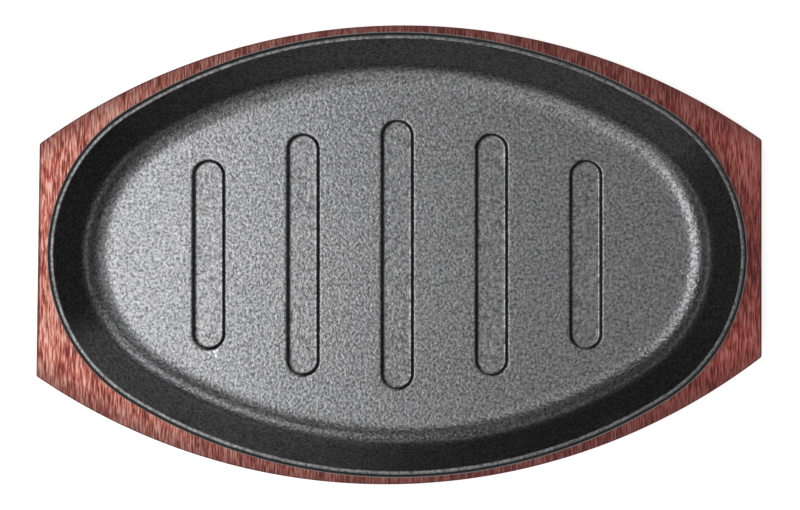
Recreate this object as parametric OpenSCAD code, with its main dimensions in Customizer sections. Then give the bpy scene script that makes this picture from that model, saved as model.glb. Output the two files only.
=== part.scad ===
// Oval cast-iron sizzle platter standing in the recess of its wooden board.
// Millimetres, +Z up. The origin is the middle of the board's underside.

/* [Platter outline] */
// Length of the platter over its rim
platter_len = 270; // [250:1:290]
// Width of the platter over its rim
platter_w = 172; // [160:1:186]

/* [Platter section] */
// Height of the platter from its foot to its rim
platter_h = 26; // [22:0.5:30]
// Thickness of the floor at the foot ring
floor_t = 4.5; // [4:0.1:6]
// Thickness of the wall, square to its face
wall_t = 3.4; // [3.2:0.1:4]
// Width of the rim seen from above
rim_t = 2.7; // [2.6:0.1:2.9]
// Lean of the wall away from upright, in degrees
wall_lean = 25; // [18:1:30]
// Radius of the hollow corner between floor and wall
well_r = 11.5; // [8:0.5:13]
// Radius of the outer corner between foot and wall
heel_r = 6; // [4:0.5:8]
// Radius of the rim's inner edge
rim_inner_r = 0.4; // [0.3:0.1:0.6]
// Radius of the rim's outer edge
rim_outer_r = 2.2; // [1.6:0.1:2.2]
// Width of the flat foot ring that the platter stands on
foot_w = 8; // [6:0.5:12]
// How far the underside inside the foot ring is raised
foot_relief = 0.6; // [0.4:0.1:1]

/* [Slots in the floor] */
// Distance between the middles of neighbouring slots
slot_pitch = 37.7; // [34:0.1:40]
// Width of a slot at the floor
slot_w = 13; // [10:0.5:15]
// Depth of a slot below the floor
slot_depth = 1.6; // [1.4:0.1:1.9]
// Lean of a slot's side away from upright, in degrees
slot_lean = 30; // [25:1:40]
// Radius of a slot's upper and lower edges
slot_edge_r = 1.1; // [0.7:0.1:1.1]
// Length of the middle slot
slot_mid_len = 108; // [100:1:112]
// Length of the slots beside the middle one
slot_next_len = 97; // [90:1:104]
// Length of the outermost slots
slot_outer_len = 76; // [66:1:82]

/* [Board] */
// Thickness of the board
board_t = 16; // [14:0.5:20]
// Wood beyond the rim at each end
end_margin = 9.1; // [8:0.1:20]
// Wood beyond the rim at the middle of each side
side_margin = 5.2; // [4.5:0.1:12]
// Width of the board across its ends
end_w = 89; // [80:1:100]
// Bevel on the edges of the board's curved sides
side_bevel = 0.7; // [0.4:0.1:1.2]
// Bevel on the edges of the board's ends
end_bevel = 1; // [0.4:0.1:1.5]

/* [Recess in the board] */
// Depth of the recess that the platter stands in
recess_depth = 8; // [6:0.5:9]
// Gap all round between the platter and the recess's edge
seat_gap = 1.5; // [1:0.1:2.5]
// Radius at the bottom of the recess, left by the cutter
recess_r = 1.5; // [1:0.1:2]
// Bevel on the recess's edge
recess_bevel = 0.5; // [0.3:0.1:0.8]

/* [As sawn and as it lies] */
// Turn of the board's curved sides against its ends, in degrees
side_skew = 1.3; // [0:0.1:2]
// How far the curved sides are sawn off the board's middle
side_shift = -1.8; // [-3:0.1:3]
// How far the left end is sawn out of square, in degrees
left_end_skew = 0.8; // [0:0.1:1.5]
// Gap left at the end that the platter has slid to
slid_gap = 0.8; // [0.3:0.1:1]

/* [Hidden] */

// The rim's plan is a draughtsman's oval of four arcs. Its centres stand on right triangles with
// sides of 28, 45 and 53, so that centres and radii are whole thousandths wherever the sizes are.
oval_short = 28;
oval_long = 45;
oval_slant = 53;
half_len = platter_len / 2;
half_w = platter_w / 2;
oval_k = (half_len - half_w) / (oval_short + oval_long - oval_slant);
end_x = oval_short * oval_k;
side_y = oval_long * oval_k;
end_r = half_len - end_x;
side_r = end_r + oval_slant * oval_k;

// Heights in the platter, from its foot
lean_run = tan(wall_lean);
rim_face = (wall_t / cos(wall_lean) - rim_t) / lean_run;
foot_edge = wall_out(0);
foot_in = foot_edge - heel_r * tan((90 - wall_lean) / 2) - foot_w;

// Places in the board
recess_floor = board_t - recess_depth;
recess_edge = wall_out(recess_depth) + seat_gap;
platter_x = slid_gap - seat_gap;
board_len = platter_len + 2 * end_margin;
board_w = platter_w + 2 * side_margin;
side_rise = (board_w - end_w) / 2;
board_side_r = (pow(board_len / 2, 2) + pow(side_rise, 2)) / (2 * side_rise);

// Turn of one facet of a rounded corner, in degrees, and facets of a full turn
corner_step = 13;
turn_fn = 180;
// How far a cut or a sector reaches past what it cuts
over = 1;

// Distance of the wall's outer face from the rim line, at height z above the foot
function wall_out(z) = wall_t / cos(wall_lean) - rim_t - (platter_h - z) * lean_run;

// Distance of the wall's inner face from the rim line, at height z above the foot
function wall_in(z) = -rim_t - (platter_h - z) * lean_run;

function unit(v) = v / norm(v);

// A length kept to a thousandth, so that the sweeps round different centres meet exactly
function thousandth(v) = round(v * 1000) / 1000;

// Points of the arc of radius r that rounds the corner p between its neighbours a and b
function corner(a, p, b, r) =
    let (
        to_a = unit(a - p),
        to_b = unit(b - p),
        half = acos(to_a * to_b) / 2,
        middle = p + unit(to_a + to_b) * r / sin(half),
        first = p + to_a * r / tan(half) - middle,
        last = p + to_b * r / tan(half) - middle,
        from = atan2(first.y, first.x),
        turn = atan2(cross(first, last), first * last),
        steps = round(abs(turn) / corner_step)
    )
    [for (i = [0:steps]) middle + r * [cos(from + turn * i / steps), sin(from + turn * i / steps)]];

function place(row) = [row[0], row[1]];

// An open path through rows of [x, y, corner radius], with its corners rounded
function rounded(rows) = [
    for (i = [0:len(rows) - 1])
        let (
            p = place(rows[i]),
            before = place(rows[max(i - 1, 0)]),
            after = place(rows[min(i + 1, len(rows) - 1)]),
            points = rows[i][2] > 0 ? corner(before, p, after, rows[i][2]) : [p]
        )
        each [for (q = points) [thousandth(q.x), thousandth(q.y)]]
];

// Turns a path of [distance outside a circle of the given radius, height] about Z, closed at the axis
module turned(path, radius) {
    rotate_extrude($fn = turn_fn)
        polygon(concat(
            [[0, path[0].y]],
            [for (p = path) [radius + p.x, p.y]],
            [[0, path[len(path) - 1].y]]
        ));
}

// A solid whose plan follows the rim's oval, and whose section is a path of [distance outside the
// rim line, height]. Each end and each side is turned about its own centre and kept to its own sector.
module oval_solid(path) {
    heights = [for (p = path) p.y];
    bottom = min(heights) - over;
    span = max(heights) - bottom + over;
    far = 3;
    knuckle = [end_x, 0];
    outer = [end_x * (1 + far), side_y * far];
    for (half_turn = [0, 180])
        rotate([0, 0, half_turn]) {
            intersection() {
                translate([end_x, 0, 0])
                    turned(path, end_r);
                translate([0, 0, bottom])
                    linear_extrude(height = span)
                        polygon([knuckle, [outer.x, -outer.y], outer]);
            }
            intersection() {
                translate([0, -side_y, 0])
                    turned(path, side_r);
                translate([0, 0, bottom])
                    linear_extrude(height = span)
                        polygon([knuckle, outer, [-outer.x, outer.y], [-end_x, 0]]);
            }
        }
}

// Section of the casting, from the middle of its floor over the rim to the middle of its underside
function casting_path() = rounded([
    [-half_w / 2, floor_t, 0],
    [wall_in(floor_t), floor_t, well_r],
    [-rim_t, platter_h, rim_inner_r],
    [0, platter_h, min(rim_outer_r, rim_face)],
    [0, platter_h - rim_face, 0],
    [foot_edge, 0, heel_r],
    [foot_in, 0, 0],
    [foot_in - foot_relief, foot_relief, 0],
    [-half_w / 2, foot_relief, 0]
]);

// Half section of a slot, from its middle at the bottom to above the floor
function slot_path() =
    let (
        top = slot_w / 2,
        bottom = top - slot_depth * tan(slot_lean),
        half_side = slot_depth / cos(slot_lean) / 2,
        edge_r = min(slot_edge_r, half_side / tan((90 - slot_lean) / 2)),
        lip = top + 2 * edge_r
    )
    rounded([
        [0, -slot_depth, 0],
        [bottom, -slot_depth, edge_r],
        [top, 0, edge_r],
        [lip, 0, 0],
        [lip, over, 0],
        [0, over, 0]
    ]);

// One slot with round ends, cut below the height of its own frame
module slot(length) {
    path = slot_path();
    straight = length - slot_w;
    for (half_turn = [0, 180])
        rotate([0, 0, half_turn])
            translate([0, straight / 2, 0])
                rotate_extrude(angle = 180, $fn = turn_fn)
                    polygon(path);
    rotate([90, 0, 0])
        linear_extrude(height = straight, center = true)
            polygon(concat(path, [for (i = [len(path) - 2:-1:1]) [-path[i].x, path[i].y]]));
}

// The casting: one piece of iron, with a leaning wall, a foot ring and five slots in its floor
module platter() {
    lengths = [slot_outer_len, slot_next_len, slot_mid_len, slot_next_len, slot_outer_len];
    color("#2b2b2c")
        translate([platter_x, 0, recess_floor])
            difference() {
                oval_solid(casting_path());
                for (i = [0:len(lengths) - 1])
                    translate([(i - (len(lengths) - 1) / 2) * slot_pitch, 0, floor_t])
                        slot(lengths[i]);
            }
}

// A round disc as thick as the board, with beveled edges, that gives one of its curved sides
module side_disc(side) {
    rotate([0, 0, side_skew])
        translate([side_shift, side * (board_w / 2 - board_side_r), 0])
            turned(board_edge(0, side_bevel), board_side_r);
}

// Section of the board's edge, where the edge lies at this distance, with its two corners beveled
function board_edge(at, bevel) = [
    [at - bevel, board_t],
    [at, board_t - bevel],
    [at, bevel],
    [at - bevel, 0]
];

// A block as thick as the board, wider and longer than it, with one beveled end face
module end_block() {
    rotate([90, 0, 0])
        linear_extrude(height = 2 * board_w, center = true)
            polygon(concat([[-board_len, board_t]], board_edge(board_len / 2, end_bevel), [[-board_len, 0]]));
}

// The recess: upright wall, bevelled edge and the round left by the cutter at its bottom
module recess() {
    oval_solid(rounded([
        [recess_edge + recess_bevel + over, board_t + over, 0],
        [recess_edge, board_t - recess_bevel, 0],
        [recess_edge, recess_floor, recess_r],
        [-half_w / 2, recess_floor, 0]
    ]));
}

// The board: two sawn arcs and two sawn ends, with the platter's recess cut into it
module board() {
    color("#9a4f42")
        difference() {
            intersection() {
                end_block();
                rotate([0, 0, 180 - left_end_skew])
                    translate([-end_w / 2 * sin(left_end_skew), 0, 0])
                        end_block();
                side_disc(1);
                side_disc(-1);
            }
            recess();
        }
}

platter();
board();
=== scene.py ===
import math

import bpy
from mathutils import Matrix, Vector
from mathutils.geometry import delaunay_2d_cdt


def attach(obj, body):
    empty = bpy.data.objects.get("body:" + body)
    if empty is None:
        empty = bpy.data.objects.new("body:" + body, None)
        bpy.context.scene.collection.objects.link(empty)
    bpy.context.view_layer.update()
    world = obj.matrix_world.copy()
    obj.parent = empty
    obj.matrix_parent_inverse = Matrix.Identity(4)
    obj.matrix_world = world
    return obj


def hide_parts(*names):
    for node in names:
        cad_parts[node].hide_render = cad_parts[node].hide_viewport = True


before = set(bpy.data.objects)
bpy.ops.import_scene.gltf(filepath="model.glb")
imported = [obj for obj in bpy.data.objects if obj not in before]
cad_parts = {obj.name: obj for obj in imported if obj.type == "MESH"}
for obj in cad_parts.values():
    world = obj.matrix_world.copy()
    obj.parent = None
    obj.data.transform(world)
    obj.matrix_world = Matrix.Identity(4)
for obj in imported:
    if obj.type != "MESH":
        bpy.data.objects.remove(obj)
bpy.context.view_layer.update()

# THE PLATTER
# One sand casting of grey iron: an oval pan with a leaning wall, a flat-topped rim, a foot ring under it
# and five blind slots in its floor. It only stands in the board's recess, so nothing holds it there.

mm = 0.001
platter_length, platter_width, platter_height = 270, 172, 26
floor_thickness, wall_thickness, rim_width = 4.5, 3.4, 2.7
wall_lean = math.radians(25)
well_radius, heel_radius, rim_inner_radius, rim_outer_radius = 11.5, 6, 0.4, 2.2
foot_width, foot_relief = 8, 0.6
slot_pitch, slot_width, slot_depth = 37.7, 13, 1.6
slot_lean, slot_edge_radius = math.radians(30), 1.1
middle_slot_length, next_slot_length, outer_slot_length = 108, 97, 76
slots_each_side = 2
rim_under_radius, foot_edge_radius = 0.8, 0.3
recess_floor_height = 8
slid_to_the_left = -0.7

# The rim's oval is drawn with four arcs, whose centres stand on right triangles of 28, 45 and 53
oval_unit = (platter_length - platter_width) / 2 / (28 + 45 - 53)
end_centre, side_centre = 28 * oval_unit, 45 * oval_unit
end_radius = platter_length / 2 - end_centre
centres_apart = 53 * oval_unit


def wall_face(height, outer):
    """How far a face of the leaning wall lies outside the rim line, at a height above the foot"""
    width = wall_thickness / math.cos(wall_lean) if outer else 0
    return width - rim_width - (platter_height - height) * math.tan(wall_lean)


def add_node(tree, kind, links=None, **settings):
    """Adds a node, with its settings, and with a value or a link for each input that is named"""
    node = tree.nodes.new(kind)
    for name, value in settings.items():
        setattr(node, name, value)
    for name, value in (links or {}).items():
        for source in value if isinstance(value, list) else [value]:
            if isinstance(source, bpy.types.NodeSocket):
                tree.links.new(source, node.inputs[name])
            else:
                node.inputs[name].default_value = source
    return node


# Rows of the two sections: distance outside the line that is swept, height, corner radius. Each section
# runs on a little way over the flat faces, which webs close further in.
swept_floor, swept_flat = 8, 2
outer_rim_row = 3
rim_face = (wall_thickness / math.cos(wall_lean) - rim_width) / math.tan(wall_lean)
foot_edge = wall_face(0, True)
foot_inside = foot_edge - heel_radius * math.tan((math.pi / 2 - wall_lean) / 2) - foot_width
casting_section = [
    (wall_face(floor_thickness, False) - swept_floor, floor_thickness, 0),
    (wall_face(floor_thickness, False), floor_thickness, well_radius),
    (-rim_width, platter_height, rim_inner_radius),
    (0, platter_height, rim_outer_radius),
    (0, platter_height - rim_face, rim_under_radius),
    (foot_edge, 0, heel_radius),
    (foot_inside, 0, foot_edge_radius),
    (foot_inside - foot_relief, foot_relief, foot_edge_radius),
    (foot_inside - foot_relief - swept_flat, foot_relief, 0),
]
slot_run = slot_depth * math.tan(slot_lean)
slot_section = [
    (-slot_run - swept_flat, -slot_depth, 0),
    (-slot_run, -slot_depth, slot_edge_radius),
    (0, 0, slot_edge_radius),
    (swept_flat, 0, 0),
]

section_mesh = bpy.data.meshes.new("platter_sections")
rows = casting_section + slot_section
joins = [(i, i + 1) for i in range(len(rows) - 1) if i != len(casting_section) - 1]
section_mesh.from_pydata([(d * mm, -z * mm, 0) for d, z, r in rows], joins, [])
for attribute, values in {
    "corner radius": [r * mm for d, z, r in rows],
    "of a slot": [float(i >= len(casting_section)) for i in range(len(rows))],
    "outside": [float(outer_rim_row <= i < len(casting_section)) for i in range(len(rows))],
}.items():
    section_mesh.attributes.new(attribute, "FLOAT", "POINT").data.foreach_set("value", values)
platter_sections = bpy.data.objects.new("platter_sections", section_mesh)
bpy.context.scene.collection.objects.link(platter_sections)

casting = bpy.data.node_groups.new("platter_casting", "GeometryNodeTree")
casting.interface.new_socket("Sections", in_out="INPUT", socket_type="NodeSocketGeometry")
casting.interface.new_socket("Platter", in_out="OUTPUT", socket_type="NodeSocketGeometry")
casting_sizes = {
    "End centre": end_centre * mm,
    "Side centre": side_centre * mm,
    "Centres apart": centres_apart * mm,
    "End radius": end_radius * mm,
    "Floor height": floor_thickness * mm,
    "Underside height": foot_relief * mm,
    "Slot pitch": slot_pitch * mm,
    "Slot half width": slot_width / 2 * mm,
    "Slot depth": slot_depth * mm,
    "Middle slot straight": (middle_slot_length - slot_width) / 2 * mm,
    "Next slot straight": (next_slot_length - slot_width) / 2 * mm,
    "Outer slot straight": (outer_slot_length - slot_width) / 2 * mm,
    "Platter along the board": slid_to_the_left * mm,
    "Recess floor": recess_floor_height * mm,
}
casting_inputs = {
    name: casting.interface.new_socket(name, in_out="INPUT", socket_type="NodeSocketFloat").identifier
    for name in casting_sizes
}
casting_inputs["Iron"] = casting.interface.new_socket(
    "Iron", in_out="INPUT", socket_type="NodeSocketMaterial"
).identifier
given = add_node(casting, "NodeGroupInput").outputs

# Each section is rounded at its corners, cut into short lengths and swept round a circle
oval_steps, slot_steps = 360, 48
oval_corner_facets, slot_corner_facets = 9, 5
cut_length, most_cuts = 1.1, 20.0
swept = {}
slot_share = add_node(
    casting, "GeometryNodeInputNamedAttribute", {"Name": "of a slot"}, data_type="FLOAT"
).outputs[0]
halves = add_node(
    casting,
    "GeometryNodeSeparateGeometry",
    {"Geometry": given["Sections"], "Selection": slot_share},
    domain="POINT",
).outputs
for name, section, radius, steps, facets in (
    ("casting", halves["Inverted"], given["End radius"], oval_steps, oval_corner_facets),
    ("slot", halves["Selection"], given["Slot half width"], slot_steps, slot_corner_facets),
):
    line = add_node(casting, "GeometryNodeMeshToCurve", {"Mesh": section}).outputs[0]
    radii = add_node(
        casting, "GeometryNodeInputNamedAttribute", {"Name": "corner radius"}, data_type="FLOAT"
    ).outputs[0]
    rounded = add_node(
        casting,
        "GeometryNodeFilletCurve",
        {"Curve": line, "Count": facets, "Radius": radii, "Limit Radius": True},
        mode="POLY",
    ).outputs[0]
    here = add_node(casting, "GeometryNodeInputPosition").outputs[0]
    index = add_node(casting, "GeometryNodeInputIndex").outputs[0]
    after = add_node(casting, "ShaderNodeMath", {0: index, 1: 1.0}, operation="ADD").outputs[0]
    there = add_node(
        casting, "GeometryNodeFieldAtIndex", {"Index": after, "Value": here}, data_type="FLOAT_VECTOR"
    ).outputs[0]
    stretch = add_node(
        casting, "ShaderNodeVectorMath", {0: here, 1: there}, operation="DISTANCE"
    ).outputs["Value"]
    cuts = add_node(
        casting, "ShaderNodeMath", {0: stretch, 1: cut_length * mm}, operation="DIVIDE"
    ).outputs[0]
    cuts = add_node(casting, "ShaderNodeMath", {0: cuts, 1: most_cuts}, operation="MINIMUM").outputs[0]
    fine = add_node(casting, "GeometryNodeSubdivideCurve", {"Curve": rounded, "Cuts": cuts}).outputs[0]
    circle = add_node(
        casting, "GeometryNodeCurvePrimitiveCircle", {"Resolution": steps, "Radius": radius}
    ).outputs["Curve"]
    swept[name] = add_node(
        casting, "GeometryNodeCurveToMesh", {"Curve": circle, "Profile Curve": fine}
    ).outputs[0]

# The round casting is parted into the oval: ends move outwards, sides are spread to their longer radius
place = add_node(casting, "GeometryNodeInputPosition").outputs[0]
flat = add_node(casting, "ShaderNodeVectorMath", {0: place, 1: (1, 1, 0)}, operation="MULTIPLY").outputs[0]
outward = add_node(casting, "ShaderNodeVectorMath", {0: flat}, operation="NORMALIZE").outputs[0]
signs = add_node(casting, "ShaderNodeVectorMath", {0: flat}, operation="SIGN").outputs[0]
to_end = add_node(casting, "ShaderNodeCombineXYZ", {"X": given["End centre"]}).outputs[0]
to_side = add_node(casting, "ShaderNodeCombineXYZ", {"Y": given["Side centre"]}).outputs[0]
end_shift = add_node(
    casting, "ShaderNodeVectorMath", {0: signs, 1: to_end}, operation="MULTIPLY"
).outputs[0]
side_back = add_node(
    casting, "ShaderNodeVectorMath", {0: signs, 1: to_side}, operation="MULTIPLY"
).outputs[0]
side_spread = add_node(
    casting, "ShaderNodeVectorMath", {0: outward, "Scale": given["Centres apart"]}, operation="SCALE"
).outputs[0]
side_shift = add_node(
    casting, "ShaderNodeVectorMath", {0: side_spread, 1: side_back}, operation="SUBTRACT"
).outputs[0]
crossed = add_node(
    casting, "ShaderNodeCombineXYZ", {"X": given["Side centre"], "Y": given["End centre"]}
).outputs[0]
leaning = add_node(
    casting, "ShaderNodeVectorMath", {0: outward, 1: crossed}, operation="MULTIPLY"
).outputs[0]
leaning = add_node(casting, "ShaderNodeVectorMath", {0: leaning}, operation="ABSOLUTE").outputs[0]
shares = add_node(casting, "ShaderNodeSeparateXYZ", {0: leaning}).outputs
on_side = add_node(
    casting, "ShaderNodeMath", {0: shares["Y"], 1: shares["X"]}, operation="GREATER_THAN"
).outputs[0]
parting = add_node(
    casting,
    "GeometryNodeSwitch",
    {"Switch": on_side, "False": end_shift, "True": side_shift},
    input_type="VECTOR",
).outputs[0]
oval_ring = add_node(
    casting, "GeometryNodeSetPosition", {"Geometry": swept["casting"], "Offset": parting}
).outputs[0]

# Five round cups stand on a line at the floor, and each is drawn out along Y to its own length
seat = add_node(casting, "ShaderNodeCombineXYZ", {"X": given["Slot pitch"]}).outputs[0]
first_seat = add_node(
    casting, "ShaderNodeVectorMath", {0: seat, "Scale": -slots_each_side}, operation="SCALE"
).outputs[0]
first_seat = add_node(
    casting,
    "ShaderNodeVectorMath",
    {0: first_seat, 1: add_node(casting, "ShaderNodeCombineXYZ", {"Z": given["Floor height"]}).outputs[0]},
    operation="ADD",
).outputs[0]
seats = add_node(
    casting,
    "GeometryNodeMeshLine",
    {"Count": 2 * slots_each_side + 1, "Start Location": first_seat, "Offset": seat},
    mode="OFFSET",
).outputs[0]
seat_index = add_node(casting, "GeometryNodeInputIndex").outputs[0]
from_middle = add_node(
    casting, "ShaderNodeMath", {0: seat_index, 1: slots_each_side}, operation="SUBTRACT"
).outputs[0]
from_middle = add_node(casting, "ShaderNodeMath", {0: from_middle}, operation="ABSOLUTE").outputs[0]
straights = add_node(casting, "GeometryNodeIndexSwitch", data_type="FLOAT")
straights.index_switch_items.new()
for place_in_row, name in enumerate(("Middle slot straight", "Next slot straight", "Outer slot straight")):
    casting.links.new(given[name], straights.inputs[1 + place_in_row])
casting.links.new(from_middle, straights.inputs["Index"])
seats = add_node(
    casting,
    "GeometryNodeStoreNamedAttribute",
    {"Geometry": seats, "Name": "straight", "Value": straights.outputs[0]},
    data_type="FLOAT",
    domain="POINT",
).outputs[0]
cups = add_node(
    casting, "GeometryNodeInstanceOnPoints", {"Points": seats, "Instance": swept["slot"]}
).outputs[0]
cups = add_node(casting, "GeometryNodeRealizeInstances", {"Geometry": cups}).outputs[0]
cup_place = add_node(
    casting, "ShaderNodeSeparateXYZ", {0: add_node(casting, "GeometryNodeInputPosition").outputs[0]}
).outputs["Y"]
cup_side = add_node(casting, "ShaderNodeMath", {0: cup_place}, operation="SIGN").outputs[0]
straight = add_node(
    casting, "GeometryNodeInputNamedAttribute", {"Name": "straight"}, data_type="FLOAT"
).outputs[0]
drawn_out = add_node(casting, "ShaderNodeMath", {0: cup_side, 1: straight}, operation="MULTIPLY").outputs[0]
slots = add_node(
    casting,
    "GeometryNodeSetPosition",
    {"Geometry": cups, "Offset": add_node(casting, "ShaderNodeCombineXYZ", {"Y": drawn_out}).outputs[0]},
).outputs[0]

# Open edges at one height are closed by a flat web: the floor round its slots, their bottoms, the underside
open_metal = add_node(casting, "GeometryNodeJoinGeometry", {"Geometry": [oval_ring, slots]}).outputs[0]
edge_faces = add_node(casting, "GeometryNodeInputMeshEdgeNeighbors").outputs[0]
edge_height = add_node(
    casting, "ShaderNodeSeparateXYZ", {0: add_node(casting, "GeometryNodeInputPosition").outputs[0]}
).outputs["Z"]
slot_bottom = add_node(
    casting, "ShaderNodeMath", {0: given["Floor height"], 1: given["Slot depth"]}, operation="SUBTRACT"
).outputs[0]
same_height, same_point = 0.01, 0.002
webs = [open_metal]
for web_height, faces_down in (
    (given["Floor height"], False),
    (slot_bottom, False),
    (given["Underside height"], True),
):
    at_height = add_node(
        casting, "ShaderNodeMath", {0: edge_height, 1: web_height, 2: same_height * mm}, operation="COMPARE"
    ).outputs[0]
    alone = add_node(
        casting, "ShaderNodeMath", {0: edge_faces, 1: 1.0, 2: 0.1}, operation="COMPARE"
    ).outputs[0]
    chosen = add_node(casting, "ShaderNodeMath", {0: at_height, 1: alone}, operation="MULTIPLY").outputs[0]
    loops = add_node(
        casting, "GeometryNodeMeshToCurve", {"Mesh": open_metal, "Selection": chosen}
    ).outputs[0]
    web = add_node(casting, "GeometryNodeFillCurve", {"Curve": loops}, mode="TRIANGLES").outputs[0]
    if faces_down:
        web = add_node(casting, "GeometryNodeFlipFaces", {"Mesh": web}).outputs[0]
    raised = add_node(casting, "ShaderNodeCombineXYZ", {"Z": web_height}).outputs[0]
    webs.append(
        add_node(casting, "GeometryNodeTransform", {"Geometry": web, "Translation": raised}).outputs[0]
    )
whole = add_node(casting, "GeometryNodeJoinGeometry", {"Geometry": webs}).outputs[0]
whole = add_node(
    casting, "GeometryNodeMergeByDistance", {"Geometry": whole, "Distance": same_point * mm}
).outputs[0]
whole = add_node(casting, "GeometryNodeSetShadeSmooth", {"Geometry": whole}).outputs[0]
stand = add_node(
    casting, "ShaderNodeCombineXYZ", {"X": given["Platter along the board"], "Z": given["Recess floor"]}
).outputs[0]
whole = add_node(casting, "GeometryNodeTransform", {"Geometry": whole, "Translation": stand}).outputs[0]
whole = add_node(casting, "GeometryNodeRealizeInstances", {"Geometry": whole}).outputs[0]
whole = add_node(
    casting, "GeometryNodeSetMaterial", {"Geometry": whole, "Material": given["Iron"]}
).outputs[0]
add_node(casting, "NodeGroupOutput", {"Platter": whole})


def linear(hex_colour):
    """A colour's linear values, from its sRGB hex value"""
    parts = [int(hex_colour[i : i + 2], 16) / 255 for i in (1, 3, 5)]
    return (*(c / 12.92 if c <= 0.04045 else ((c + 0.055) / 1.055) ** 2.4 for c in parts), 1)


# Sand-cast iron, oiled and baked black: the moulding sand leaves a pebbled skin about a millimetre
# across, and the baked oil gives it a satin sheen, rougher on the floor than on the wiped wall. Outside
# the rim the coat is a duller black that gives back little light; there and down the slots' sides its
# colour is also painted darker, as painted shade.
pebble_size, patch_size = 1.15, 14
floor_level = recess_floor_height + floor_thickness
rim_level = recess_floor_height + platter_height
iron = bpy.data.materials.new("sand_cast_iron_baked_black")
iron.use_nodes = True
iron.node_tree.nodes.clear()
skin = iron.node_tree
at = add_node(skin, "ShaderNodeTexCoord").outputs["Object"]
sand = add_node(
    skin,
    "ShaderNodeTexNoise",
    {"Vector": at, "Scale": 1 / (pebble_size * mm), "Detail": 2.0, "Roughness": 0.65},
).outputs["Fac"]
pebbles = add_node(
    skin, "ShaderNodeTexVoronoi", {"Vector": at, "Scale": 1 / (pebble_size * mm), "Randomness": 1.0}
).outputs["Distance"]
patches = add_node(
    skin,
    "ShaderNodeTexNoise",
    {"Vector": at, "Scale": 1 / (patch_size * mm), "Detail": 4.0, "Roughness": 0.6},
).outputs["Fac"]
pebbled = add_node(
    skin, "ShaderNodeMath", {0: pebbles, 1: -0.25, 2: sand}, operation="MULTIPLY_ADD"
).outputs[0]
height = add_node(skin, "ShaderNodeSeparateXYZ", {0: at}).outputs["Z"]
up_the_wall = add_node(
    skin,
    "ShaderNodeMapRange",
    {
        "Value": height,
        "From Min": (floor_level + 1) * mm,
        "From Max": (floor_level + 9) * mm,
    },
    interpolation_type="SMOOTHSTEP",
).outputs[0]
grit = add_node(
    skin, "ShaderNodeMapRange", {"Value": up_the_wall, "To Min": 0.64, "To Max": 0.08}
).outputs[0]
bump = add_node(
    skin, "ShaderNodeBump", {"Height": pebbled, "Strength": grit, "Distance": 0.25 * mm}
).outputs[0]
sheen = add_node(
    skin,
    "ShaderNodeMapRange",
    {"Value": patches, "From Min": 0.3, "From Max": 0.7, "To Min": 0.27, "To Max": 0.31},
).outputs[0]
sheen = add_node(
    skin, "ShaderNodeMath", {0: up_the_wall, 1: -0.1, 2: sheen}, operation="MULTIPLY_ADD"
).outputs[0]
tone = add_node(skin, "ShaderNodeValToRGB", {"Fac": sand})
tone.color_ramp.elements[0].position, tone.color_ramp.elements[0].color = 0.32, linear("#464647")
tone.color_ramp.elements[1].position, tone.color_ramp.elements[1].color = 0.68, linear("#878788")
outside = add_node(skin, "ShaderNodeAttribute", attribute_name="outside").outputs["Fac"]
below_the_rim = add_node(
    skin,
    "ShaderNodeMapRange",
    {
        "Value": height,
        "From Min": (rim_level - 0.01) * mm,
        "From Max": (rim_level - 0.17) * mm,
    },
).outputs[0]
outside = add_node(skin, "ShaderNodeMath", {0: outside, 1: below_the_rim}, operation="MULTIPLY").outputs[0]
on_the_rim = add_node(
    skin,
    "ShaderNodeMapRange",
    {
        "Value": height,
        "From Min": (rim_level - 0.6) * mm,
        "From Max": (rim_level - 0.1) * mm,
        "To Max": 0.27,
    },
).outputs[0]
# Painted shade: the slots' sides and the outside below the rim take a darker colour; outside the rim it is
# also the duller coat's own black
dark_coat_and_painted_shade = []
for unshaded_height, shaded_height in (
    (floor_thickness - 0.1, floor_thickness - 0.5),
    (floor_thickness - slot_depth + 0.1, floor_thickness - slot_depth + 0.5),
):
    dark_coat_and_painted_shade.append(
        add_node(
            skin,
            "ShaderNodeMapRange",
            {
                "Value": height,
                "From Min": (recess_floor_height + unshaded_height) * mm,
                "From Max": (recess_floor_height + shaded_height) * mm,
            },
        ).outputs[0]
    )
dark_coat_and_painted_shade = add_node(skin, "ShaderNodeMath", {0: dark_coat_and_painted_shade[0], 1: dark_coat_and_painted_shade[1]}, operation="MULTIPLY").outputs[0]
dark_coat_and_painted_shade = add_node(skin, "ShaderNodeMath", {0: dark_coat_and_painted_shade, 1: 0.6}, operation="MULTIPLY").outputs[0]
dark_coat_and_painted_shade = add_node(skin, "ShaderNodeMath", {0: dark_coat_and_painted_shade, 1: outside}, operation="MAXIMUM").outputs[0]
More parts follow.
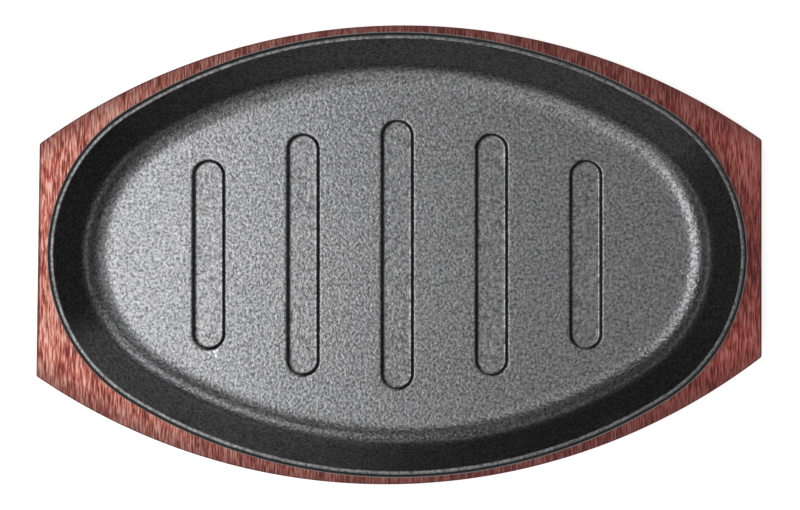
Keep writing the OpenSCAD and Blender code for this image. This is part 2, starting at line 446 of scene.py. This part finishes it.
# Painted glints: small pale spots on the floor, a forked group before the left slot and a few more, painted
# where grit catches the light
glint_width = 1.2
tone_with_painted_glints = tone.outputs[0]
for along, across, depth, spot_length in (
    (-73.2, -40.2, 0, 2.8),
    (-73.8, -38.8, 0, 1.7),
    (-72.6, -38.2, 0, 1.9),
    (-75.6, -39.3, 0, 1.2),
    (-75.2, -35.7, slot_depth, 1.0),
    (93.4, -37.6, 0, 1.0),
    (96.0, -37.6, 0, 1.4),
    (112.4, -6.5, 0, 1.0),
    (113.1, -7.4, 0, 0.9),
    (115.2, -8.6, 0, 1.3),
    (-71.8, 41.7, 0, 1.2),
):
    level = floor_level - depth
    glint_spot = add_node(
        skin,
        "ShaderNodeVectorMath",
        {0: at, 1: (along * mm, across * mm, level * mm)},
        operation="SUBTRACT",
    ).outputs[0]
    glint_spot = add_node(
        skin, "ShaderNodeVectorMath", {0: glint_spot, 1: (1, glint_width / spot_length, 1)}, operation="MULTIPLY"
    ).outputs[0]
    glint_spot = add_node(skin, "ShaderNodeVectorMath", {0: glint_spot}, operation="LENGTH").outputs["Value"]
    glint_spot = add_node(
        skin,
        "ShaderNodeMapRange",
        {"Value": glint_spot, "From Min": glint_width / 2 * mm, "From Max": glint_width / 6 * mm, "To Max": 0.5},
    ).outputs[0]
    # Each spot is a painted glint: a pale patch mixed into the iron's colour
    tone_with_painted_glints = add_node(
        skin, "ShaderNodeMix", {0: glint_spot, 6: tone_with_painted_glints, 7: linear("#d0d0d2")}, data_type="RGBA"
    ).outputs[2]
# The darker colour goes on by that mask: the duller coat outside the rim, and painted shade there and on
# the slots' sides
colour_with_painted_light = add_node(
    skin, "ShaderNodeMix", {0: dark_coat_and_painted_shade, 6: tone_with_painted_glints, 7: linear("#242425")}, data_type="RGBA"
).outputs[2]
sheen = add_node(
    skin, "ShaderNodeMath", {0: outside, 1: 0.15, 2: sheen}, operation="MULTIPLY_ADD"
).outputs[0]
sheen = add_node(skin, "ShaderNodeMath", {0: sheen, 1: on_the_rim}, operation="ADD").outputs[0]
surface = add_node(
    skin,
    "ShaderNodeBsdfPrincipled",
    {"Base Color": colour_with_painted_light, "Metallic": 0.95, "Roughness": sheen, "Normal": bump},
).outputs[0]
add_node(skin, "ShaderNodeOutputMaterial", {"Surface": surface})

growing = platter_sections.modifiers.new("casting", "NODES")
growing.node_group = casting
for name, size in casting_sizes.items():
    growing[casting_inputs[name]] = size
growing[casting_inputs["Iron"]] = iron
platter_mesh = bpy.data.meshes.new_from_object(
    platter_sections.evaluated_get(bpy.context.evaluated_depsgraph_get())
)
bpy.data.objects.remove(platter_sections)
platter = bpy.data.objects.new("cast_platter", platter_mesh)
bpy.context.scene.collection.objects.link(platter)
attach(platter, "root")
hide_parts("platter")

# THE BOARD
# One piece of wood, grain across its length, sawn to two long arcs and two straight ends, stained red
# brown and thinly sealed. A cutter sank the oval recess that the platter's foot stands in.

board_thickness, end_margin, side_margin, end_width = 16, 9.1, 5.2, 89
edge_ease = 0.8
recess_depth, recess_gap, recess_corner, recess_ease = 8, 1.5, 1.5, 0.5
side_skew, side_offset, left_end_skew = math.radians(1.3), -1.8, math.radians(0.8)
corner_ease, flat_band = 0.7, 0.5
end_steps, side_steps = 44, 150
board_half_length = platter_length / 2 + end_margin
board_half_width = platter_width / 2 + side_margin
side_rise = board_half_width - end_width / 2
side_arc_radius = (board_half_length**2 + side_rise**2) / (2 * side_rise)


def arc_centre(side):
    """Centre of the arc on one side of the board, turned and moved as it was sawn"""
    across = side * (board_half_width - side_arc_radius)
    return (
        side_offset * math.cos(side_skew) - across * math.sin(side_skew),
        side_offset * math.sin(side_skew) + across * math.cos(side_skew),
    )


def board_outline(inset):
    """The board's outline at a distance inside its edge: two skewed arcs, two ends and eased corners"""
    arcs = [arc_centre(1), arc_centre(-1)]
    ends = (
        ((1, 0), board_half_length - inset),
        (
            (-math.cos(left_end_skew), math.sin(left_end_skew)),
            board_half_length - end_width / 2 * math.sin(left_end_skew) - inset,
        ),
    )
    radius = side_arc_radius - inset

    def corner(arc, end):
        (nx, ny), far = ends[end]
        cx, cy = arcs[arc]
        reach = far - cx * nx - cy * ny
        chord = math.sqrt(radius**2 - reach**2)
        spots = [(cx + nx * reach + s * chord * -ny, cy + ny * reach + s * chord * nx) for s in (1, -1)]
        return max(spots, key=lambda p: p[1] * (1 - 2 * arc))

    def arc_run(arc, start, stop, steps):
        cx, cy = arcs[arc]
        a, b = (math.atan2(p[1] - cy, p[0] - cx) for p in (start, stop))
        ease = math.copysign(corner_ease / radius, b - a)
        a, b = a + ease, b - ease
        turns = [a + (b - a) * i / steps for i in range(steps + 1)]
        return [(cx + radius * math.cos(turn), cy + radius * math.sin(turn)) for turn in turns]

    def line_run(start, stop, steps):
        length = math.dist(start, stop)
        shares = [(corner_ease + (length - 2 * corner_ease) * i / steps) / length for i in range(steps + 1)]
        return [(start[0] + (stop[0] - start[0]) * t, start[1] + (stop[1] - start[1]) * t) for t in shares]

    top_right, top_left, low_left, low_right = corner(0, 0), corner(0, 1), corner(1, 1), corner(1, 0)
    runs = [
        line_run(low_right, top_right, end_steps),
        arc_run(0, top_right, top_left, side_steps),
        line_run(top_left, low_left, end_steps),
        arc_run(1, low_left, low_right, side_steps),
    ]
    points = []
    for i, (run, tip) in enumerate(zip(runs, (top_right, top_left, low_left, low_right))):
        points += run
        a, b = run[-1], runs[(i + 1) % 4][0]
        for t in (0.25, 0.5, 0.75):
            points.append(
                tuple(a[k] * (1 - t) ** 2 + 2 * tip[k] * t * (1 - t) + b[k] * t**2 for k in (0, 1))
            )
    return points


def oval_outline(outside):
    """The rim's oval on the board, at a distance outside the rim line"""
    points = []
    for step in range(360):
        c, s = math.cos(math.radians(step)), math.sin(math.radians(step))
        radius = end_radius + outside
        side_radius = radius + centres_apart
        if abs(s) * end_centre > abs(c) * side_centre:
            x, y = side_radius * c, side_radius * s - math.copysign(side_centre, s)
        else:
            x, y = radius * c + math.copysign(end_centre, c), radius * s
        points.append((x + slid_to_the_left, y))
    return points


board_points, board_faces, sawn = [], [], []


def lay_ring(outline, height, edge):
    """Puts an outline's points at a height, with how far they count as a sawn edge"""
    first = len(board_points)
    board_points.extend((x * mm, y * mm, height * mm) for x, y in outline)
    sawn.extend([edge] * len(outline))
    return first, len(outline)


def join_rings(lower, upper):
    """Closes the band between two rings of as many points, facing out when the second is the higher"""
    (a, n), (b, _) = lower, upper
    board_faces.extend((a + i, a + (i + 1) % n, b + (i + 1) % n, b + i) for i in range(n))


def fill_flat(rings, facing, keep=lambda x, y: True):
    """Closes a flat face between rings that lie at one height"""
    ids = [first + i for first, n in rings for i in range(n)]
    edges, start = [], 0
    for _, n in rings:
        edges += [(start + i, start + (i + 1) % n) for i in range(n)]
        start += n
    flat_points = [board_points[i][:2] for i in ids]
    _, _, triangles, _, _, _ = delaunay_2d_cdt(flat_points, edges, [], 1, 1e-7)
    for triangle in triangles:
        middle = [sum(flat_points[i][k] for i in triangle) / 3 / mm for k in (0, 1)]
        if keep(*middle):
            corners = [ids[i] for i in triangle]
            board_faces.append(tuple(corners if facing > 0 else corners[::-1]))


def inside_oval(x, y, outside):
    """Whether a point lies inside the rim's oval, grown by a distance"""
    x, y = abs(x - slid_to_the_left), abs(y)
    if (x - end_centre) * side_centre > y * end_centre:
        return math.hypot(x - end_centre, y) < end_radius + outside
    return math.hypot(x, y + side_centre) < end_radius + centres_apart + outside


quarter = [math.radians(a) for a in (0, 22.5, 45, 67.5, 90)]
edge_rows = [(edge_ease + flat_band, 0, 0.6)]
edge_rows += [(edge_ease * (1 - math.sin(a)), edge_ease * (1 - math.cos(a)), 1) for a in quarter]
edge_rows += [(0, edge_ease + flat_band, 1), (0, board_thickness - edge_ease - flat_band, 1)]
edge_rows += [
    (edge_ease * (1 - math.cos(a)), board_thickness - edge_ease * (1 - math.sin(a)), 1) for a in quarter
]
edge_rows += [(edge_ease + flat_band, board_thickness, 0)]
outer_rings = [lay_ring(board_outline(inset), z, edge) for inset, z, edge in edge_rows]
for lower, upper in zip(outer_rings, outer_rings[1:]):
    join_rings(lower, upper)

recess_edge = wall_face(recess_depth, True) + recess_gap
recess_floor = board_thickness - recess_depth
top_edge = recess_edge + recess_ease + flat_band
recess_rows = [(top_edge, board_thickness, 0)]
recess_rows += [
    (recess_edge + recess_ease * (1 - math.sin(a)), board_thickness - recess_ease * (1 - math.cos(a)), 0.8)
    for a in quarter
]
recess_rows += [(recess_edge, recess_floor + recess_corner + flat_band, 1)]
recess_rows += [
    (recess_edge - recess_corner * (1 - math.cos(a)), recess_floor + recess_corner * (1 - math.sin(a)), 1)
    for a in quarter
]
recess_rows += [(recess_edge - recess_corner - flat_band, recess_floor, 1)]
inner_rings = [lay_ring(oval_outline(outside), z, edge) for outside, z, edge in recess_rows]
for upper, lower in zip(inner_rings, inner_rings[1:]):
    join_rings(upper, lower)
fill_flat([outer_rings[-1], inner_rings[0]], 1, lambda x, y: not inside_oval(x, y, top_edge))
fill_flat([inner_rings[-1]], 1)
fill_flat([outer_rings[0]], -1)

board_mesh = bpy.data.meshes.new("stained_board")
board_mesh.from_pydata(board_points, [], board_faces)
board_mesh.attributes.new("sawn edge", "FLOAT", "POINT").data.foreach_set("value", sawn)
board_mesh.shade_smooth()

# Hardwood with open pores, sawn and sanded, stained red brown and sealed with thin oil: short dark pores
# and pale streaks run along the grain, and the stain sits darker on every sawn edge. Streaks and pores
# are drawn about twice as wide as real ones, so that they show at this size.
wood = bpy.data.materials.new("red_stained_hardwood")
wood.use_nodes = True
wood.node_tree.nodes.clear()
grain = wood.node_tree
at = add_node(grain, "ShaderNodeTexCoord").outputs["Object"]


def along_grain(width, length):
    """Coordinates in which one unit is a streak's width across the grain and its length along it"""
    return add_node(
        grain,
        "ShaderNodeMapping",
        {"Vector": at, "Scale": (1 / (width * mm), 1 / (length * mm), 1 / (width * mm))},
    ).outputs[0]


streak_width, streak_length = 0.62, 6
band_width, band_length = 6, 60
pore_width, pore_length = 0.45, 3
streaks = add_node(
    grain,
    "ShaderNodeTexNoise",
    {
        "Vector": along_grain(streak_width, streak_length),
        "Scale": 1.0,
        "Detail": 2.0,
        "Roughness": 0.6,
    },
).outputs["Fac"]
bands = add_node(
    grain,
    "ShaderNodeTexNoise",
    {"Vector": along_grain(band_width, band_length), "Scale": 1.0, "Detail": 2.0},
).outputs["Fac"]
pores = add_node(
    grain,
    "ShaderNodeTexNoise",
    {"Vector": along_grain(pore_width, pore_length), "Scale": 1.0, "Detail": 1.0},
).outputs["Fac"]
pores = add_node(
    grain, "ShaderNodeMapRange", {"Value": pores, "From Min": 0.58, "From Max": 0.74, "To Max": 0.6}
).outputs[0]
mixed = add_node(
    grain, "ShaderNodeMath", {0: bands, 1: 0.35, 2: streaks}, operation="MULTIPLY_ADD"
).outputs[0]
stain = add_node(grain, "ShaderNodeValToRGB", {"Fac": mixed})
stops = stain.color_ramp
stops.elements[0].position, stops.elements[0].color = 0.55, linear("#7c2a26")
stops.elements[1].position, stops.elements[1].color = 0.82, linear("#ffc4b0")
stops.elements.new(0.67).color = linear("#d86c58")
# Darker and more crimson towards the right end, broken up by the broad bands: partly the stain's own drift,
# partly painted shade for the platter's shadow there
length_along = add_node(grain, "ShaderNodeSeparateXYZ", {0: at}).outputs["X"]
towards_right_end = add_node(
    grain,
    "ShaderNodeMapRange",
    {"Value": length_along, "From Min": -board_half_length * mm, "From Max": board_half_length * mm},
).outputs[0]
towards_right_end = add_node(
    grain, "ShaderNodeMath", {0: bands, 1: 0.6, 2: towards_right_end}, operation="MULTIPLY_ADD"
).outputs[0]
towards_right_end = add_node(
    grain, "ShaderNodeMapRange", {"Value": towards_right_end, "From Min": 0.4, "From Max": 1.3}
).outputs[0]
stain_with_right_end_shade = add_node(
    grain,
    "ShaderNodeMix",
    {0: towards_right_end, 6: stain.outputs[0], 7: linear("#c29aa0")},
    data_type="RGBA",
    blend_type="MULTIPLY",
).outputs[2]
pored = add_node(
    grain,
    "ShaderNodeMix",
    {0: pores, 6: stain_with_right_end_shade, 7: linear("#4c1f1a")},
    data_type="RGBA",
).outputs[2]
edge = add_node(grain, "ShaderNodeAttribute", attribute_name="sawn edge").outputs["Fac"]
edge = add_node(grain, "ShaderNodeMath", {0: edge, 1: 0.75}, operation="MULTIPLY").outputs[0]
# Painted shade: a darker strip along each curved side, beside the platter, and along the right end
side_shade_width, end_shade_width, full_shade_inset = 9, 10, 1
arc_reach = side_arc_radius * mm
for centre_x, centre_y in (arc_centre(1), arc_centre(-1)):
    to_arc = add_node(
        grain,
        "ShaderNodeVectorMath",
        {0: at, 1: (centre_x * mm, centre_y * mm, 0)},
        operation="DISTANCE",
    ).outputs["Value"]
    painted_shade_strip = add_node(
        grain,
        "ShaderNodeMapRange",
        {
            "Value": to_arc,
            "From Min": arc_reach - side_shade_width * mm,
            "From Max": arc_reach - full_shade_inset * mm,
            "To Max": 0.6,
        },
    ).outputs[0]
    edge = add_node(grain, "ShaderNodeMath", {0: edge, 1: painted_shade_strip}, operation="MAXIMUM").outputs[0]
painted_shade_strip = add_node(
    grain,
    "ShaderNodeMapRange",
    {
        "Value": length_along,
        "From Min": (board_half_length - end_shade_width) * mm,
        "From Max": (board_half_length - full_shade_inset) * mm,
        "To Max": 0.4,
    },
).outputs[0]
edge = add_node(grain, "ShaderNodeMath", {0: edge, 1: painted_shade_strip}, operation="MAXIMUM").outputs[0]
# The sawn edges' darker stain and the painted shade strips go on together
stained_and_shaded = add_node(
    grain,
    "ShaderNodeMix",
    {0: edge, 6: pored, 7: linear("#4a1f1d")},
    data_type="RGBA",
).outputs[2]
dullness = add_node(
    grain,
    "ShaderNodeMapRange",
    {"Value": streaks, "From Min": 0.3, "From Max": 0.7, "To Min": 0.7, "To Max": 0.5},
).outputs[0]
relief = add_node(
    grain, "ShaderNodeMath", {0: pores, 1: -0.8, 2: streaks}, operation="MULTIPLY_ADD"
).outputs[0]
relief = add_node(
    grain, "ShaderNodeBump", {"Height": relief, "Strength": 0.5, "Distance": 0.2 * mm}
).outputs[0]
surface = add_node(
    grain,
    "ShaderNodeBsdfPrincipled",
    {"Base Color": stained_and_shaded, "Roughness": dullness, "Normal": relief, "IOR": 1.45},
).outputs[0]
add_node(grain, "ShaderNodeOutputMaterial", {"Surface": surface})

board_mesh.materials.append(wood)
board = bpy.data.objects.new("wooden_board", board_mesh)
bpy.context.scene.collection.objects.link(board)
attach(board, "root")
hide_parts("board")

# THE STUDIO
# A white table top that turns up into a low white wall far off, under soft lamps: one over the left end,
# one before and one behind, and a pale ceiling. Near the part the table keeps the shadow it throws.

table_top = bpy.data.materials.new("white_table_top")
table_top.use_nodes = True
table_top.node_tree.nodes.clear()
white = table_top.node_tree
paper = add_node(white, "ShaderNodeBsdfDiffuse", {"Color": linear("#d8d8d8")}).outputs[0]
spot = add_node(white, "ShaderNodeTexCoord").outputs["Object"]
away = add_node(white, "ShaderNodeVectorMath", {0: spot}, operation="LENGTH").outputs["Value"]
near_part, far_off, near_glow = 0.25, 1.0, 0.65
lift = add_node(
    white,
    "ShaderNodeMapRange",
    {"Value": away, "From Min": near_part, "From Max": far_off, "To Min": near_glow, "To Max": 1.0},
).outputs[0]
rays = add_node(white, "ShaderNodeLightPath").outputs
seen = add_node(
    white, "ShaderNodeMath", {0: rays["Is Camera Ray"], 1: rays["Is Glossy Ray"]}, operation="MAXIMUM"
).outputs[0]
seen = add_node(
    white, "ShaderNodeMath", {0: seen, 1: rays["Is Transmission Ray"]}, operation="MAXIMUM"
).outputs[0]
lift = add_node(white, "ShaderNodeMath", {0: lift, 1: seen}, operation="MULTIPLY").outputs[0]
glow = add_node(white, "ShaderNodeEmission", {"Color": (1, 1, 1, 1), "Strength": lift}).outputs[0]
sheet = add_node(white, "ShaderNodeAddShader", {0: paper, 1: glow}).outputs[0]
add_node(white, "ShaderNodeOutputMaterial", {"Surface": sheet})
table_reach, wall_height, table_sides = 12, 2.4, 48
table_turns = [2 * math.pi * i / table_sides for i in range(table_sides)]
table_points = [
    (table_reach * math.cos(turn), table_reach * math.sin(turn), z)
    for z in (0, wall_height)
    for turn in table_turns
]
table_faces = [tuple(range(table_sides))]
for i in range(table_sides):
    beside = (i + 1) % table_sides
    table_faces.append((i, i + table_sides, beside + table_sides, beside))
floor_mesh = bpy.data.meshes.new("table_top")
floor_mesh.from_pydata(table_points, [], table_faces)
floor_mesh.materials.append(table_top)
table_plane = bpy.data.objects.new("table_top", floor_mesh)
bpy.context.scene.collection.objects.link(table_plane)

for name, place, aimed, size, radiance in (
    ("overhead_softbox", (-0.415, -0.06, 1.0), False, (0.49, 0.82), 4.4),
    ("front_softbox", (-0.27, -1.0, 0.94), True, (1.2, 1.0), 1.25),
    ("back_softbox", (0.6, 1.09, 0.66), True, (1.2, 0.4), 2.8),
    ("pale_ceiling", (0.2, 0.1, 1.3), False, (1.2, 1.2), 0.78),
):
    lamp = bpy.data.lights.new(name, "AREA")
    lamp.shape, lamp.size, lamp.size_y = "RECTANGLE", size[0], size[1]
    lamp.energy = radiance * math.pi * size[0] * size[1]
    hung = bpy.data.objects.new(name, lamp)
    bpy.context.scene.collection.objects.link(hung)
    hung.location = place
    if aimed:
        hung.rotation_euler = Vector(place).to_track_quat("Z", "Y").to_euler()

room = bpy.data.worlds.new("dim_room")
room.use_nodes = True
room.node_tree.nodes.clear()
air = room.node_tree
dim = add_node(air, "ShaderNodeBackground", {"Color": (1, 1, 1, 1), "Strength": 0.11}).outputs[0]
add_node(air, "ShaderNodeOutputWorld", {"Surface": dim})
bpy.context.scene.world = room

# The camera hangs straight over the board, as the photograph was taken
eye = bpy.data.cameras.new("overhead")
eye.sensor_width, eye.lens = 36, 64.4
overhead = bpy.data.objects.new("overhead", eye)
bpy.context.scene.collection.objects.link(overhead)
over_x, over_y, camera_height = 0.36, -0.1, 584
overhead.location = (over_x * mm, over_y * mm, camera_height * mm)
bpy.context.scene.camera = overhead
bpy.context.scene.view_settings.view_transform = "Standard"
